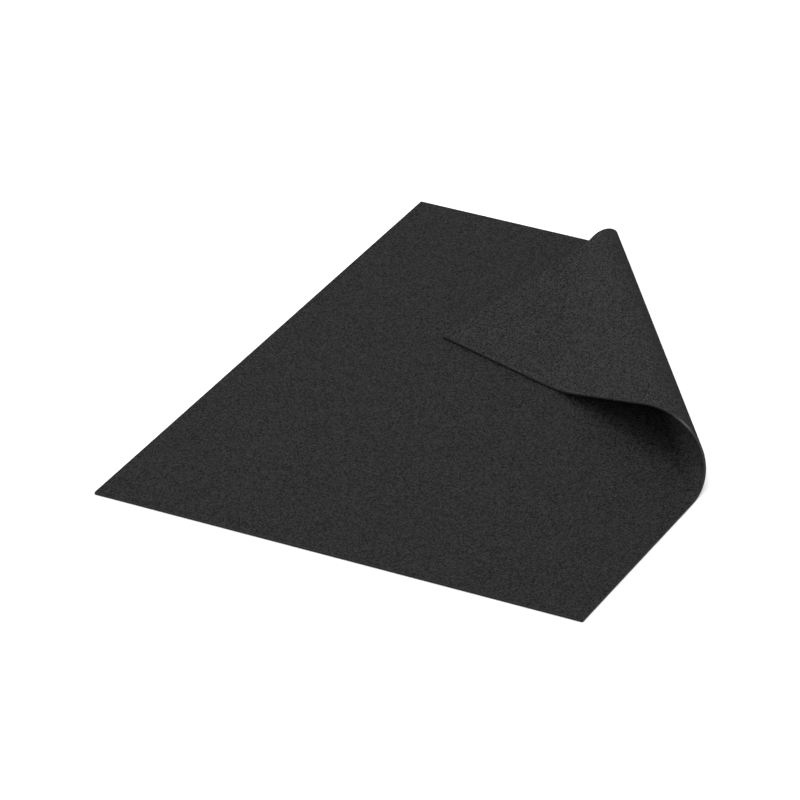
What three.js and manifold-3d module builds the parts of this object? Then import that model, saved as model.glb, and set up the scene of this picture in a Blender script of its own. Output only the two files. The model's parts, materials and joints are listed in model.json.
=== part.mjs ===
// A self healing mat: a thin laminated sheet that lies flat, with one corner rolled up, over and down onto it.
// Millimetres, +Z up, +X along the short edges and +Y along the long ones.
// The origin is the middle of the underside.
import * as THREE from "three";
import { mergeVertices } from "three/addons/utils/BufferGeometryUtils.js";
import Module from "manifold-3d";

// The sheet.
const width = 450;
const length = 600;
const cornerRadius = 1;
const cornerSteps = 3;

// The three bonded plies, from the underside up.
const skinThickness = 0.7;
const coreThickness = 0.5;
const bondLine = 0.05;

// The roll turns by equal steps about fold lines. Each line joins a point on the right edge, given by its y, to
// one on the back edge, given by its x. v runs from 0 where the roll starts to 1 where it ends.
const rollFolds = 17;
const rollStep = THREE.MathUtils.degToRad(12.2);
const rollOnRightEdge = (v) => -88 + 112 * v + 26.5 * v ** 4;
const rollOnBackEdge = (v) => -44 + 75 * v ** 1.2;

// Where the rolled corner comes down it bends back the other way, so that it lies along the sheet.
const settleFolds = 2;
const settleStep = THREE.MathUtils.degToRad(11.4);
const settleOnRightEdge = (v) => 138 + 36 * v;
const settleOnBackEdge = (v) => 41 + 16 * v;

// The clearance between two neighbouring strips, measured on the underside.
const stripGap = 0.3;

const wasm = await Module();
wasm.setup();

// The two outer plies are a soft dark plastic, and the middle one is a harder, slightly paler plastic.
const skinMaterial = () => new THREE.MeshStandardMaterial({ color: 0x303031, roughness: 0.75, metalness: 0 });
const coreMaterial = () => new THREE.MeshStandardMaterial({ color: 0x4a4a4b, roughness: 0.55, metalness: 0 });

const coreBase = skinThickness + bondLine;
const topBase = coreBase + coreThickness + bondLine;
const plies = [
  { name: "bottom_ply", base: 0, thickness: skinThickness, material: skinMaterial },
  { name: "core_ply", base: coreBase, thickness: coreThickness, material: coreMaterial },
  { name: "top_ply", base: topBase, thickness: skinThickness, material: skinMaterial },
];

// A fold line in the flat sheet: a point on each edge, the direction that the sheet beyond it turns about, the
// way across it towards the rolled corner, and the angle.
function foldLine(onRightEdge, onBackEdge, turn) {
  const front = new THREE.Vector3(width / 2, onRightEdge, 0);
  const rear = new THREE.Vector3(onBackEdge, length / 2, 0);
  const axis = front.clone().sub(rear).normalize();
  const across = new THREE.Vector3(-axis.y, axis.x, 0);
  return { front, axis, across, turn };
}

// Equal turns, each at the middle of its share of v.
function foldLines(count, turn, onRightEdge, onBackEdge) {
  return Array.from({ length: count }, (_, i) => {
    const v = (i + 0.5) / count;
    return foldLine(onRightEdge(v), onBackEdge(v), turn);
  });
}

const folds = [
  ...foldLines(rollFolds, rollStep, rollOnRightEdge, rollOnBackEdge),
  ...foldLines(settleFolds, -settleStep, settleOnRightEdge, settleOnBackEdge),
];

// The whole ply as one flat slab with rounded corners.
function plySlab(ply) {
  const outline = new THREE.Shape();
  const corners = [
    [1, -1, -0.5],
    [1, 1, 0],
    [-1, 1, 0.5],
    [-1, -1, 1],
  ];
  for (const [x, y, quarter] of corners) {
    const start = quarter * Math.PI;
    const centreX = x * (width / 2 - cornerRadius);
    const centreY = y * (length / 2 - cornerRadius);
    outline.absarc(centreX, centreY, cornerRadius, start, start + Math.PI / 2, false);
  }
  const slab = new THREE.ExtrudeGeometry(outline, {
    depth: ply.thickness,
    bevelEnabled: false,
    curveSegments: cornerSteps,
  });
  return slab.translate(0, 0, ply.base);
}

function solidFrom(geometry) {
  const bare = geometry.clone();
  bare.deleteAttribute("normal");
  bare.deleteAttribute("uv");
  const merged = mergeVertices(bare);
  return new wasm.Manifold(
    new wasm.Mesh({
      numProp: 3,
      vertProperties: new Float32Array(merged.attributes.position.array),
      triVerts: new Uint32Array(merged.index.array),
    }),
  );
}

function geometryFrom(solid) {
  const mesh = solid.getMesh();
  const geometry = new THREE.BufferGeometry();
  geometry.setAttribute("position", new THREE.BufferAttribute(mesh.vertProperties, 3));
  geometry.setIndex(new THREE.BufferAttribute(mesh.triVerts, 1));
  const faceted = geometry.toNonIndexed();
  faceted.computeVertexNormals();
  return faceted;
}

// Keeps the side of a fold that keepSide points to: +1 is the side of the rolled corner. The cut leaves half of
// the gap at the underside. Where the fold closes the upper side, it leans back by half of the fold's angle, so
// that the two cut faces are parallel when the fold is made.
function cutAtFold(solid, fold, keepSide) {
  const lean = Math.tan(Math.max(fold.turn, 0) / 2);
  const normal = fold.across.clone().multiplyScalar(keepSide);
  normal.z = -lean;
  const reach = normal.dot(fold.front) + stripGap / 2;
  const size = normal.length();
  return solid.trimByPlane(normal.toArray(), reach / size);
}

// One ply of the strip between two folds, lying flat.
function plyStrip(ply, slab, before, after) {
  let solid = slab;
  if (before) solid = cutAtFold(solid, before, 1);
  if (after) solid = cutAtFold(solid, after, -1);
  return new THREE.Mesh(geometryFrom(solid), ply.material());
}

// The group for the sheet beyond a fold. Points in it are still given as they lie in the flat sheet.
function sheetBeyond(sheet, fold) {
  const hinge = new THREE.Group();
  hinge.position.copy(fold.front);
  hinge.quaternion.setFromAxisAngle(fold.axis, fold.turn);
  sheet.add(hinge);
  const beyond = new THREE.Group();
  beyond.position.copy(fold.front).negate();
  hinge.add(beyond);
  return beyond;
}

function stripName(i) {
  if (i === 0) return "flat";
  if (i === folds.length) return "corner";
  return "curl_" + String(i).padStart(2, "0");
}

const mat = new THREE.Group();
const slabs = plies.map((ply) => solidFrom(plySlab(ply)));
let sheet = mat;
for (let i = 0; i <= folds.length; i += 1) {
  if (i > 0) sheet = sheetBeyond(sheet, folds[i - 1]);
  for (const [k, ply] of plies.entries()) {
    const strip = plyStrip(ply, slabs[k], folds[i - 1], folds[i]);
    strip.name = ply.name + "_" + stripName(i);
    sheet.add(strip);
  }
}

export default mat;
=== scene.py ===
import json
import math

import bpy
import numpy as np
from mathutils import Matrix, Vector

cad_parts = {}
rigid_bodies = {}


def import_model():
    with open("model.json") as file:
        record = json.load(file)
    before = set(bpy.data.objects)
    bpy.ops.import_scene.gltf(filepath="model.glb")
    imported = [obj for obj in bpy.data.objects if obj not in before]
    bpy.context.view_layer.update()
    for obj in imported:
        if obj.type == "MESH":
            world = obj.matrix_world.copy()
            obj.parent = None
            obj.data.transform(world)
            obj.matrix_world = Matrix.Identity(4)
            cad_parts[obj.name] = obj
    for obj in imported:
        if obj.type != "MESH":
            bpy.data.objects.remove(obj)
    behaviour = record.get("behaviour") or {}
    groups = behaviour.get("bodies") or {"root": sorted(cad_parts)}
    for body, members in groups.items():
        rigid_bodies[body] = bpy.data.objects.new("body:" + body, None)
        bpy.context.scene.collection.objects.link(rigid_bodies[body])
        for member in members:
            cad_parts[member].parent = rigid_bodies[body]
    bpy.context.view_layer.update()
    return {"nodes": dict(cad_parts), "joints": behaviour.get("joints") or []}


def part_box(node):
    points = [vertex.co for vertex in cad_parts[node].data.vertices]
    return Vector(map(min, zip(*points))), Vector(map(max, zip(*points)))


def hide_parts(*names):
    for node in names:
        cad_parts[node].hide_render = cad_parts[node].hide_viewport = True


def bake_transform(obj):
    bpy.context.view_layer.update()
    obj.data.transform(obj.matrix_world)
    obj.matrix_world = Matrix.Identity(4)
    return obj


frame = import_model()
print("frame loaded:", len(frame["nodes"]), "nodes")

# A self healing mat: three bonded plies, lying flat, with one corner rolled up, over and down onto the
# sheet. Metres. The sheet is worked out flat first, on the underside, and then turned bit by bit about
# its fold lines.
mm = 0.001

# The view.
view = {
    "azimuth": 27.1365,  # degrees round from the front, towards the right
    "elevation": 28.9816,
    "distance": 4.79535,
    "aim": (-0.082634, -0.001092),  # how far right of the origin and above it the view is centred
    "lens": 251.69,  # mm on a 36 mm wide sensor
}


def placeCamera():
    azimuth = math.radians(view["azimuth"])
    elevation = math.radians(view["elevation"])
    level = math.cos(elevation)
    back = np.array([math.sin(azimuth) * level, -math.cos(azimuth) * level, math.sin(elevation)])
    right = np.array([math.cos(azimuth), math.sin(azimuth), 0.0])
    up = np.cross(back, right)
    aimRight, aimUp = view["aim"]
    place = np.eye(4)
    place[:3, :3] = np.stack([right, up, back], 1)
    place[:3, 3] = back * view["distance"] + right * aimRight + up * aimUp
    camera = bpy.data.objects.new("camera", bpy.data.cameras.new("camera"))
    camera.data.sensor_width = 36
    camera.data.lens = view["lens"]
    camera.data.clip_end = 100
    bpy.context.scene.collection.objects.link(camera)
    camera.matrix_world = Matrix(place)
    bpy.context.scene.camera = camera


placeCamera()


# Wraps one socket of a node tree, so that shader maths reads as plain expressions on values.
class Signal:
    def __init__(self, tree, socket=None):
        self.tree = tree
        self.socket = socket

    # Any node: its settings are set first, then each of its sockets gets a value or a link.
    def node(self, kind, settings, sockets, output=0):
        made = self.tree.nodes.new(kind)
        for name, value in settings.items():
            setattr(made, name, value)
        for name, value in sockets.items():
            if isinstance(value, Signal):
                self.tree.links.new(value.socket, made.inputs[name])
            else:
                made.inputs[name].default_value = value
        return Signal(self.tree, made.outputs[output] if made.outputs else None)

    def maths(self, operation, first, second):
        return self.node("ShaderNodeMath", {"operation": operation}, {0: first, 1: second})

    def __add__(self, other):
        return self.maths("ADD", self, other)

    def __radd__(self, other):
        return self.maths("ADD", other, self)

    def __sub__(self, other):
        return self.maths("SUBTRACT", self, other)

    def __rsub__(self, other):
        return self.maths("SUBTRACT", other, self)

    def __mul__(self, other):
        return self.maths("MULTIPLY", self, other)


def newFinish(name):
    material = bpy.data.materials.new(name)
    material.use_nodes = True
    material.node_tree.nodes.clear()
    return material, Signal(material.node_tree)


def closeFinish(start, sockets, bump):
    normal = start.node("ShaderNodeBump", {}, bump)
    shader = start.node("ShaderNodeBsdfPrincipled", {}, {**sockets, "Normal": normal})
    start.node("ShaderNodeOutputMaterial", {}, {"Surface": shader})


# A colour between two, by a factor from 0 to 1.
def between(start, factor, low, high):
    return start.node("ShaderNodeMix", {"data_type": "RGBA"}, {0: factor, 6: low, 7: high}, 2)


# Smooth noise from 0 to 1, by the size of its largest blotches.
def noise(start, place, size, detail):
    pattern = {"Vector": place, "Scale": 1 / size, "Detail": detail}
    return start.node("ShaderNodeTexNoise", {}, pattern, "Fac")


# Where a point lies in the flat sheet, so that a pattern follows the sheet round the roll.
def flatPlace(start, stretch=(1, 1, 1)):
    place = start.node("ShaderNodeAttribute", {"attribute_name": "flatPlace"}, {}, "Vector")
    return start.node("ShaderNodeVectorMath", {"operation": "MULTIPLY"}, {0: place, 1: stretch})


skin = {
    "pebble": 0.87 * mm,  # across one pebble of the grain
    "pebbleTone": 1.8,  # how strongly each pattern shifts the tone
    "tooth": 0.45 * mm,  # the finer roughness on and between the pebbles
    "toothTone": 0.7,
    "mottle": 55 * mm,  # slow change of tone over the sheet
    "mottleTone": 0.1,
    "dark": (0.0022, 0.0022, 0.0022, 1),
    "pale": (0.0335, 0.0335, 0.0338, 1),
    "roughness": (0.60, 0.78),
    "pebbleFall": 1.4,  # how steeply a pebble falls away from its middle
    "toothRise": 0.7,
    "grainDepth": 0.14 * mm,
    "grainStrength": 0.6,
    "specular": 0.06,
}
undersideGain = 1.2  # the underside is a little paler


def scaled(colour, gain):
    return [gain * part for part in colour[:3]] + [1]


# The matte face of a skin. Tone = a middle tone and what the pebble's own shade, the fine tooth and the
# slow mottling add or take away. Height = the pebble's dome and the tooth.
def skinFinish(name, gain):
    material, start = newFinish(name)
    place = flatPlace(start)
    pebble = {"Vector": place, "Scale": 1 / skin["pebble"]}
    fromCentre = start.node("ShaderNodeTexVoronoi", {}, pebble, "Distance")
    shade = start.node("ShaderNodeTexVoronoi", {}, pebble, "Color")
    ownShade = start.node("ShaderNodeSeparateColor", {}, {"Color": shade}, "Red")
    tooth = noise(start, place, skin["tooth"], 2.0) - 0.5
    mottle = noise(start, place, skin["mottle"], 3.0) - 0.5
    height = 1 - fromCentre * fromCentre * skin["pebbleFall"] + tooth * skin["toothRise"]
    tone = 0.5 + (ownShade - 0.5) * skin["pebbleTone"]
    tone = tone + tooth * skin["toothTone"] + mottle * skin["mottleTone"]
    low, high = skin["roughness"]
    closeFinish(
        start,
        {
            "Base Color": between(start, tone, scaled(skin["dark"], gain), scaled(skin["pale"], gain)),
            "Roughness": low + ownShade * (high - low),
            "Specular IOR Level": skin["specular"],
        },
        {"Height": height, "Distance": skin["grainDepth"], "Strength": skin["grainStrength"]},
    )
    return material


cut = {
    "streak": 0.35 * mm,  # between the marks that the blade left
    "streakStretch": 0.08,  # how fast they change through the thickness, beside along the edge
    "streakDepth": 0.02 * mm,
    "streakStrength": 0.5,
    "skinColour": ((0.012, 0.012, 0.0122, 1), (0.022, 0.022, 0.0223, 1)),
    "coreColour": ((0.020, 0.020, 0.0202, 1), (0.032, 0.032, 0.0323, 1)),
    "roughness": (0.36, 0.44),
    "specular": 0.35,
}


# A knife-cut edge, smoother than the faces. Tone = noise drawn out through the thickness, which gives
# faint streaks.
def cutFinish(name, colours):
    material, start = newFinish(name)
    place = flatPlace(start, (1, 1, cut["streakStretch"]))
    streaks = noise(start, place, cut["streak"], 3.0)
    low, high = cut["roughness"]
    closeFinish(
        start,
        {
            "Base Color": between(start, streaks, *colours),
            "Roughness": low + streaks * (high - low),
            "Specular IOR Level": cut["specular"],
        },
        {"Height": streaks, "Distance": cut["streakDepth"], "Strength": cut["streakStrength"]},
    )
    return material


topFace = skinFinish("topside_pebble_grain", 1)
undersideFace = skinFinish("underside_pebble_grain", undersideGain)
skinCut = cutFinish("skin_knife_cut", cut["skinColour"])
coreCut = cutFinish("core_knife_cut", cut["coreColour"])
print("finishes made")

# The sheet's shape. Each fold line joins a point on the right edge, given by its y, to one on the back
# edge, given by its x. v runs from 0 where the roll, or the settling bend, starts to 1 where it ends.
sheet = {
    "cornerRadius": 1 * mm,
    "rollOnRightEdge": lambda v: (-88 + 112 * v + 26.5 * v**4) * mm,
    "rollOnBackEdge": lambda v: (-44 + 75 * v**1.2) * mm,
    "settleOnRightEdge": lambda v: (138 + 36 * v) * mm,
    "settleOnBackEdge": lambda v: (41 + 16 * v) * mm,
    "tipChord": 0.3 * mm,  # from the middle of a corner's arc to the first ruling
    "rowsPerFold": 12,
    "rowsOnFlat": 72,
    "rowsOnBridge": 8,
    "rowsOnCorner": 24,
    "rowsPerArc": 8,
    "nearEdge": (2 * mm, 6 * mm, 14 * mm),  # columns close to each edge
    "nearEdgeShare": 0.45,  # the most of a short ruling that they may take up at each end
    "columns": 24,  # between those
    "cutRounding": 0.15 * mm,
    "roundingSteps": 3,
}

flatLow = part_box("bottom_ply_flat")[0]
halfWidth = -flatLow.x
halfLength = -flatLow.y
radius = sheet["cornerRadius"]
halfArc = radius * math.pi / 4
acrossLeg = 2 * (halfWidth - radius)
alongLeg = 2 * (halfLength - radius)
walkLength = 4 * halfArc + acrossLeg + alongLeg

joints = frame["joints"]
rolls = [j for j in joints if j["name"].startswith("roll_fold")]
settles = [j for j in joints if j["name"].startswith("settle_fold")]


# Half of the outline, walked a distance s from the middle of one corner's arc, along a side of half
# length a, round the next corner and along a side of half length b, to the middle of the arc opposite.
# A point is the inner rectangle's side there plus the corner radius along the outward normal. Gives
# points and normals.
def walkOutline(s, a, b):
    legA = 2 * (a - radius)
    legB = 2 * (b - radius)
    inner = np.stack(
        [
            radius - a + np.clip(s - halfArc, 0, legA),
            radius - b + np.clip(s - 3 * halfArc - legA, 0, legB),
        ],
        -1,
    )
    turned = np.clip(s, 0, halfArc)
    turned = turned + np.clip(s - halfArc - legA, 0, 2 * halfArc)
    turned = turned + np.clip(s - 3 * halfArc - legA - legB, 0, halfArc)
    angle = turned / radius - 0.75 * math.pi
    normal = np.stack([np.cos(angle), np.sin(angle)], -1)
    return inner + radius * normal, normal


# A ruling's two ends as distances walked: by the front and right edges, and by the left and back edges.
def walkedTo(onRightEdge, onBackEdge, v):
    byRight = 3 * halfArc + acrossLeg + onRightEdge(v) + halfLength - radius
    byBack = 3 * halfArc + alongLeg + onBackEdge(v) + halfWidth - radius
    return np.stack([byRight, byBack], -1)


# The rulings of the whole sheet, from the corner that lies flat to the rolled one, and the crease
# between each two. Along the roll and the settling bend, v is stepped evenly and each crease turns by
# the same angle.
def layRulings():
    tip = sheet["tipChord"]
    perFold = sheet["rowsPerFold"]
    arc = np.linspace(0, 1, sheet["rowsPerArc"])
    rollStart = walkedTo(sheet["rollOnRightEdge"], sheet["rollOnBackEdge"], np.array(0.0))
    rollEnd = walkedTo(sheet["rollOnRightEdge"], sheet["rollOnBackEdge"], np.array(1.0))
    settleStart = walkedTo(sheet["settleOnRightEdge"], sheet["settleOnBackEdge"], np.array(0.0))
    settleEnd = walkedTo(sheet["settleOnRightEdge"], sheet["settleOnBackEdge"], np.array(1.0))

    # The flat part, with rows where either half of the outline rounds a corner.
    share = np.concatenate(
        [
            tip / rollStart[0] + (1 - tip / rollStart[0]) * np.linspace(0, 1, sheet["rowsOnFlat"]),
            (tip + arc * (2 * halfArc)) / rollStart[0],
            (halfArc + acrossLeg + arc * 2 * halfArc) / rollStart[0],
            (halfArc + alongLeg + arc * 2 * halfArc) / rollStart[1],
        ]
    )
    share = np.unique(np.round(share, 7))
    flat = share[share < 1][:, None] * rollStart

    def bend(joined, onRightEdge, onBackEdge, sign):
        steps = len(joined) * perFold
        v = np.arange(steps) / steps
        angle = math.radians(joined[0]["range_deg"][1]) / perFold
        rows = walkedTo(onRightEdge, onBackEdge, v)
        creases = walkedTo(onRightEdge, onBackEdge, v + 0.5 / steps)
        return rows, creases, np.full(steps, sign * angle)

    roll = bend(rolls, sheet["rollOnRightEdge"], sheet["rollOnBackEdge"], 1)
    settle = bend(settles, sheet["settleOnRightEdge"], sheet["settleOnBackEdge"], -1)
    step = np.arange(sheet["rowsOnBridge"])[:, None] / sheet["rowsOnBridge"]
    bridge = rollEnd + step * (settleStart - rollEnd)

    # The corner beyond the bends, to a short ruling across its arc.
    left = np.concatenate(
        [
            np.linspace(1, 0, sheet["rowsOnCorner"]),
            arc * 2 * halfArc / (walkLength - settleEnd[0]),
        ]
    )
    left = np.unique(np.round(left, 7))[::-1]
    shortest = tip / (walkLength - settleEnd[0])
    left = np.append(left[left > shortest], shortest)
    corner = walkLength - left[:, None] * (walkLength - settleEnd)

    rows = np.concatenate([flat, roll[0], bridge, settle[0], corner])
    creases = np.concatenate([flat, roll[1], bridge, settle[1], corner])
    turns = np.concatenate(
        [np.zeros(len(flat)), roll[2], np.zeros(len(bridge)), settle[2], np.zeros(len(corner))]
    )
    firstRoll = len(flat)
    firstSettle = firstRoll + len(roll[0]) + len(bridge)
    foldRows = [firstRoll + perFold * i for i in range(len(rolls))]
    foldRows += [firstSettle + perFold * i for i in range(len(settles))]

    # Where one piece ends and the next begins: halfway between two neighbouring folds.
    cuts = [0] + foldRows[1:] + [len(rows) - 1]
    cuts[len(rolls)] = firstRoll + len(roll[0]) + len(bridge) // 2
    return rows, creases[:-1], turns[:-1], foldRows, cuts


rows, creases, turns, foldRows, cuts = layRulings()


# Both ends of each ruling in the flat sheet, and the outward normals of the edges there.
def rulingEnds(walked):
    right, rightNormal = walkOutline(walked[:, 0], halfWidth, halfLength)
    back, backNormal = walkOutline(walked[:, 1], halfLength, halfWidth)
    return right, back[:, ::-1], rightNormal, backNormal[:, ::-1]


# The matrices of turns about axes through the origin, by Rodrigues' formula: 1 + sin a K + (1 - cos a)
# K K, where K is the cross product with the axis.
def turnsAbout(axes, angles):
    cross = np.stack([np.cross(axes, e) for e in np.eye(3)], -1)
    sine = np.sin(angles)[:, None, None]
    rest = 1 - np.cos(angles)[:, None, None]
    return np.eye(3) + sine * cross + rest * (cross @ cross)


# How each ruling has been turned and moved from where it lay flat: one crease's turn after another.
def rollUp():
    right, back, _, _ = rulingEnds(creases)
    axes = right - back
    axes = axes / np.linalg.norm(axes, axis=1, keepdims=True)
    axes = np.column_stack([axes, np.zeros(len(axes))])
    hinges = np.column_stack([right, np.zeros(len(right))])
    turn = np.eye(3)
    move = np.zeros(3)
    allTurns = [turn]
    allMoves = [move]
    for hinge, crease in zip(hinges, turnsAbout(axes, turns)):
        move = turn @ (hinge - crease @ hinge) + move
        turn = turn @ crease
        allTurns.append(turn)
        allMoves.append(move)
    return np.array(allTurns), np.array(allMoves)


endRight, endBack, normalRight, normalBack = rulingEnds(rows)
turned, moved = rollUp()
rulingLength = np.linalg.norm(endBack - endRight, axis=1)
along = (endBack - endRight) / rulingLength[:, None]
beyond = np.column_stack([along[:, 1], -along[:, 0]])  # across the ruling, towards the rolled corner
print("sheet laid:", len(rows), "rulings,", len(foldRows), "folds")


# The section of a ply's cut edge, from its upper face down to its lower one. Each point has its inset
# from the edge, its level, and which way the section faces before and after it, as a turn from straight
# up. A rounded arris is a quarter circle.
def edgeSection(base, top, rounded):
    r = sheet["cutRounding"]
    quarter = np.linspace(0, math.pi / 2, sheet["roundingSteps"] + 1)
    if rounded == "top":
        upper = np.stack([r - r * np.sin(quarter), top - r + r * np.cos(quarter), quarter, quarter], -1)
    else:
        upper = np.array([[0, top, 0, math.pi / 2]])
    if rounded == "base":
        facing = math.pi / 2 + quarter
        lower = np.stack([r - r * np.sin(facing), base + r + r * np.cos(facing), facing, facing], -1)
    else:
        lower = np.array([[0, base, math.pi / 2, math.pi]])
    return np.concatenate([upper, lower])


# The closed section that is carried along the rulings: over the upper face from the right end to the
# back end, down the cut edge there, under the lower face and up the other cut edge. Each point has
# - its side, 0 for the right end and 1 for the back end
# - its inset from that end, or -1 where its place is a share of the way between the innermost columns
# - that share
# - its level
# - which way the section faces before it and after it, as turns from straight up
def plySection(base, top, rounded):
    near = np.array(sheet["nearEdge"])
    share = np.arange(1, sheet["columns"]) / sheet["columns"]
    face = np.concatenate(
        [
            np.stack([0 * near, near, 0 * near], -1),
            np.stack([0 * share, 0 * share - 1, share], -1),
            np.stack([0 * near + 1, near[::-1], 0 * near], -1),
        ]
    )
    edge = edgeSection(base, top, rounded)
    count = len(face)
    flat = np.zeros((count, 1))
    upper = np.column_stack([face, flat + top, flat, flat])
    lower = np.column_stack([face[::-1], flat + base, flat + math.pi, flat + math.pi])
    ones = np.ones((len(edge), 1))
    down = np.column_stack([ones, edge[:, 0], 0 * ones, edge[:, 1:]])
    climb = edge[::-1][:, [0, 1, 3, 2]]
    up = np.column_stack([0 * ones, climb[:, 0], 0 * ones, climb[:, 1:]])
    return np.concatenate([upper, down, lower, up]), count, len(edge)


# Points of a section along some rulings, first as they lie in the flat sheet: the ruling's end, plus
# the inset measured square to the edge, squeezed where the ruling is short; then turned and moved with
# their ruling.
def carrySection(section, picked):
    side, inset, share, level = section[:, 0], section[:, 1], section[:, 2], section[:, 3]
    length = rulingLength[picked][:, None]
    slantRight = 1 / np.abs((along[picked] * normalRight[picked]).sum(1))[:, None]
    slantBack = 1 / np.abs((along[picked] * normalBack[picked]).sum(1))[:, None]
    widest = max(sheet["nearEdge"])
    slant = np.maximum(slantRight, slantBack)
    squeeze = np.minimum(1, sheet["nearEdgeShare"] * length / (widest * slant))
    inRight = widest * slantRight * squeeze
    inBack = length - widest * slantBack * squeeze
    distance = np.where(
        inset < 0,
        inRight + share * (inBack - inRight),
        np.where(side < 0.5, inset * slantRight * squeeze, length - inset * slantBack * squeeze),
    )
    flat = endRight[picked][:, None, :] + along[picked][:, None, :] * distance[:, :, None]
    height = np.broadcast_to(level, distance.shape)[:, :, None]
    flat = np.concatenate([flat, height], -1)
    placed = np.einsum("nij,nmj->nmi", turned[picked], flat) + moved[picked][:, None, :]
    return flat, placed


# Which way the section faces along those rulings, with each point's turn from straight up given.
def facing(section, picked, fromUp):
    outward = np.where(
        section[None, :, :1] < 0.5, normalRight[picked][:, None, :], normalBack[picked][:, None, :]
    )
    flat = np.concatenate(
        [
            outward * np.sin(fromUp)[None, :, None],
            np.broadcast_to(np.cos(fromUp)[None, :, None], outward[:, :, :1].shape),
        ],
        -1,
    )
    return np.einsum("nij,nmj->nmi", turned[picked], flat)


# One closed piece of a ply between two rulings: quads along its sides, and both ends closed with quads
# between the faces and one flat face at each cut edge.
def buildPiece(name, plyLoop, first, last, finishPair):
    section, faceCount, edgeCount = plyLoop
    picked = np.arange(first, last + 1)
    flat, placed = carrySection(section, picked)
    rowCount, columnCount = placed.shape[:2]
    index = np.arange(rowCount * columnCount).reshape(rowCount, columnCount)
    nextColumn = np.roll(index, -1, 1)
    sides = np.stack([index[:-1], index[1:], nextColumn[1:], nextColumn[:-1]], -1).reshape(-1, 4)

    leaving = facing(section, picked, section[:, 5])
    arriving = np.roll(facing(section, picked, section[:, 4]), -1, 1)
    normals = [
        np.stack([leaving[:-1], leaving[1:], arriving[1:], arriving[:-1]], 2).reshape(-1, 3)
    ]
    edgeColumns = np.zeros(columnCount, bool)
    edgeColumns[faceCount : faceCount + edgeCount - 1] = True
    edgeColumns[2 * faceCount + edgeCount : columnCount - 1] = True
    finishes = [np.tile(edgeColumns, rowCount - 1)]
    faces = sides.tolist()

    upper = np.arange(faceCount)
    lower = np.arange(faceCount)[::-1] + faceCount + edgeCount
    endQuads = np.stack([upper[:-1], upper[1:], lower[1:], lower[:-1]], -1)
    backEnd = np.arange(faceCount - 1, faceCount + edgeCount + 1)
    rightEnd = np.append(np.arange(2 * faceCount + edgeCount - 1, columnCount), 0)
    for row, way in ((0, -1), (rowCount - 1, 1)):
        closing = endQuads.tolist() + [backEnd.tolist(), rightEnd.tolist()]
        if way > 0:
            closing = [face[::-1] for face in closing]
        corners = sum(len(face) for face in closing)
        square = turned[picked[row]] @ np.append(way * beyond[picked[row]], 0)
        faces += [[int(index[row, 0]) + k for k in face] for face in closing]
        normals.append(np.tile(square, (corners, 1)))
        finishes.append(np.zeros(len(closing), bool))

    mesh = bpy.data.meshes.new(name)
    mesh.from_pydata(placed.reshape(-1, 3), [], faces)
    for finish in finishPair:
        mesh.materials.append(finish)
    mesh.polygons.foreach_set("material_index", np.concatenate(finishes).astype(np.int32))
    mesh.shade_smooth()
    mesh.normals_split_custom_set(np.concatenate(normals))
    mesh.attributes.new("flatPlace", "FLOAT_VECTOR", "POINT").data.foreach_set("vector", flat.ravel())
    mesh.update()
    piece = bpy.data.objects.new(name, mesh)
    bpy.context.scene.collection.objects.link(piece)
    return piece, placed


# The area of the flat sheet between two rulings, by the shoelace formula, and the rectangle along the
# middle ruling that just holds it.
def flatSize(first, last):
    outline = np.concatenate([endRight[first : last + 1], endBack[first : last + 1][::-1]])
    x, y = outline.T
    area = abs(np.sum(x * np.roll(y, -1) - y * np.roll(x, -1))) / 2
    middle = along[(first + last) // 2]
    lengthwise = outline @ middle
    crosswise = outline @ np.array([middle[1], -middle[0]])
    return float(area), float(np.ptp(crosswise)), float(np.ptp(lengthwise))


# Each piece lies across one fold. Works out the fold's middle, the way square to it there and how far
# the piece's end rulings lie along that way, which nothing uses; then bakes the piece's transform into
# its mesh.
def bendWithSheet(piece, placed, fold, first):
    half = sheet["rowsPerFold"] // 2
    middle = fold + half
    across = turned[middle] @ np.append(beyond[middle], 0)
    centre = turned[middle] @ np.append((endRight[middle] + endBack[middle]) / 2, 0) + moved[middle]
    before = (placed[fold - first] - centre) @ across
    after = (placed[fold + 2 * half - first] - centre) @ across
    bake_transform(piece)


plies = (
    {"name": "bottom_ply", "slot": "skin", "rounded": "base", "finishes": (undersideFace, skinCut)},
    {"name": "core_ply", "slot": "core", "rounded": "", "finishes": (coreCut, coreCut)},
    {"name": "top_ply", "slot": "skin", "rounded": "top", "finishes": (topFace, skinCut)},
)


def makePly(ply):
    low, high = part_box(ply["name"] + "_flat")
    section = plySection(low.z, high.z, ply["rounded"])
    made = []
    for i, joint in enumerate(joints):
        part = "sheet" if i == 0 else "tip" if i == len(joints) - 1 else f"bend_{i + 1:02d}"
        name = ply["name"] + "_" + part
        piece, placed = buildPiece(name, section, cuts[i], cuts[i + 1], ply["finishes"])
        bendWithSheet(piece, placed, foldRows[i], cuts[i])
        bodies = [joint["parent"], joint["child"]] if i == 0 else [joint["child"]]
        for body in bodies:
            strip = "flat" if body == joints[0]["parent"] else body
            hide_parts(ply["name"] + "_" + strip)
        area, wide, long = flatSize(cuts[i], cuts[i + 1])
        made.append(piece)
    print(ply["name"], "made:", len(made), "pieces")
    return made


below = None
for ply in plies:
    below = makePly(ply)

stage = {
    "floorRadius": 20.0,
    "floorSides": 96,
    "floorGap": 0.3 * mm,
    "floorColour": (0.9, 0.9, 0.9, 1),
    "floorGlow": 0.4,  # washes out all but the deepest shadow
    "backdrop": (0.93, 0.93, 0.93, 1),
    "sky": 0.92,  # the strength of its bright half
    "skyTop": (-0.42, -0.1, 0.9),  # towards the middle of the bright half of the sky
    "belowHorizon": 0.3,  # how bright the other half is beside it
    "horizonBlur": 0.25,
}


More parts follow.
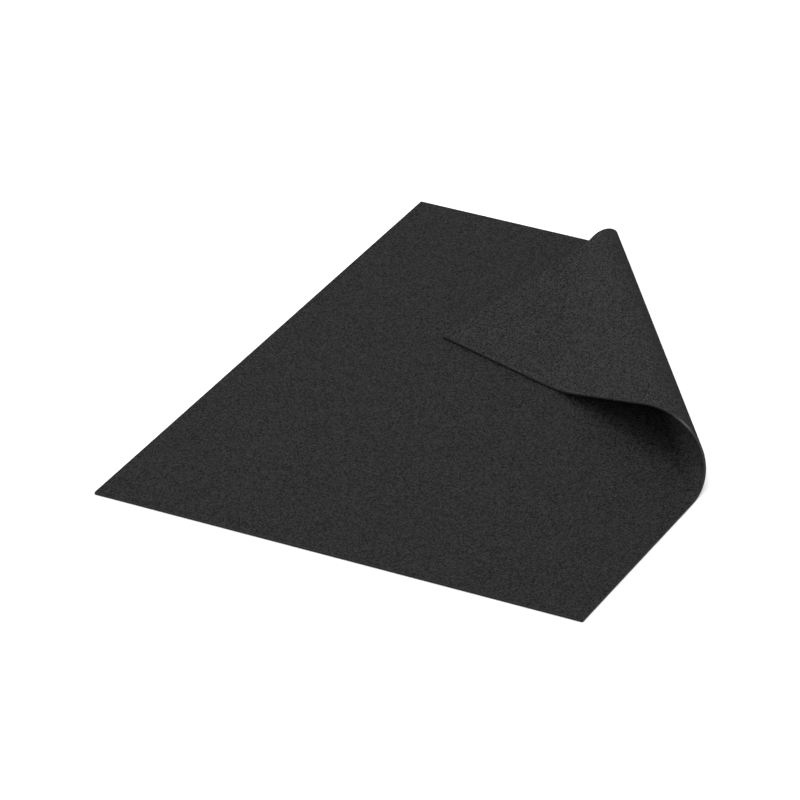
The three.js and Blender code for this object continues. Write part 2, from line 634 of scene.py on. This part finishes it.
def layFloor():
    angle = np.linspace(0, 2 * math.pi, stage["floorSides"], endpoint=False)
    reach = stage["floorRadius"]
    rim = np.stack([np.cos(angle) * reach, np.sin(angle) * reach, 0 * angle - stage["floorGap"]], -1)
    mesh = bpy.data.meshes.new("floor")
    mesh.from_pydata(rim, [], [list(range(len(angle)))])
    material, start = newFinish("floor_paint")
    shader = start.node(
        "ShaderNodeBsdfPrincipled",
        {},
        {
            "Base Color": stage["floorColour"],
            "Roughness": 1.0,
            "Specular IOR Level": 0.0,
            "Emission Color": stage["floorColour"],
            "Emission Strength": stage["floorGlow"],
        },
    )
    start.node("ShaderNodeOutputMaterial", {}, {"Surface": shader})
    mesh.materials.append(material)
    floor = bpy.data.objects.new("floor", mesh)
    floor.visible_diffuse = False
    floor.visible_glossy = False
    bpy.context.scene.collection.objects.link(floor)


# A sky that is bright on one side and dim on the other, with a plain backdrop for the camera.
# Brightness = a smooth step by how far a direction leans towards the sky's top.
def lightSky():
    world = bpy.data.worlds.new("studio")
    world.use_nodes = True
    world.node_tree.nodes.clear()
    start = Signal(world.node_tree)
    direction = start.node("ShaderNodeTexCoord", {}, {}, "Generated")
    towards = {0: direction, 1: stage["skyTop"]}
    height = start.node("ShaderNodeVectorMath", {"operation": "DOT_PRODUCT"}, towards, "Value")
    blur = stage["horizonBlur"]
    brightness = start.node(
        "ShaderNodeMapRange",
        {"interpolation_type": "SMOOTHSTEP"},
        {
            "Value": height,
            "From Min": -blur,
            "From Max": blur,
            "To Min": stage["sky"] * stage["belowHorizon"],
            "To Max": stage["sky"],
        },
    )
    seen = start.node("ShaderNodeLightPath", {}, {}, "Is Camera Ray")
    strength = brightness + seen * (1 - brightness)
    sky = start.node("ShaderNodeBackground", {}, {"Color": stage["backdrop"], "Strength": strength})
    start.node("ShaderNodeOutputWorld", {}, {"Surface": sky})
    bpy.context.scene.world = world


lamps = {
    "backTop": {"at": (-0.6, 0.8, 2.2), "size": 1.7, "power": 18},
    "frontLeft": {"at": (-2.1, -1.6, 0.55), "size": 1.2, "power": 25},
}


def hangLamp(name, lamp):
    light = bpy.data.lights.new(name, "AREA")
    light.shape = "DISK"
    light.size = lamp["size"]
    light.energy = lamp["power"]
    holder = bpy.data.objects.new(name, light)
    place = np.array(lamp["at"])
    back = place / np.linalg.norm(place)
    side = np.cross([0.0, 1.0, 0.0], back)
    side = side / np.linalg.norm(side)
    matrix = np.eye(4)
    matrix[:3, :3] = np.stack([side, np.cross(back, side), back], 1)
    matrix[:3, 3] = place
    holder.matrix_world = Matrix(matrix)
    holder.visible_camera = False
    bpy.context.scene.collection.objects.link(holder)


layFloor()
lightSky()
for name, lamp in lamps.items():
    hangLamp(name, lamp)
bpy.context.scene.view_settings.view_transform = "Standard"
print("stage set")
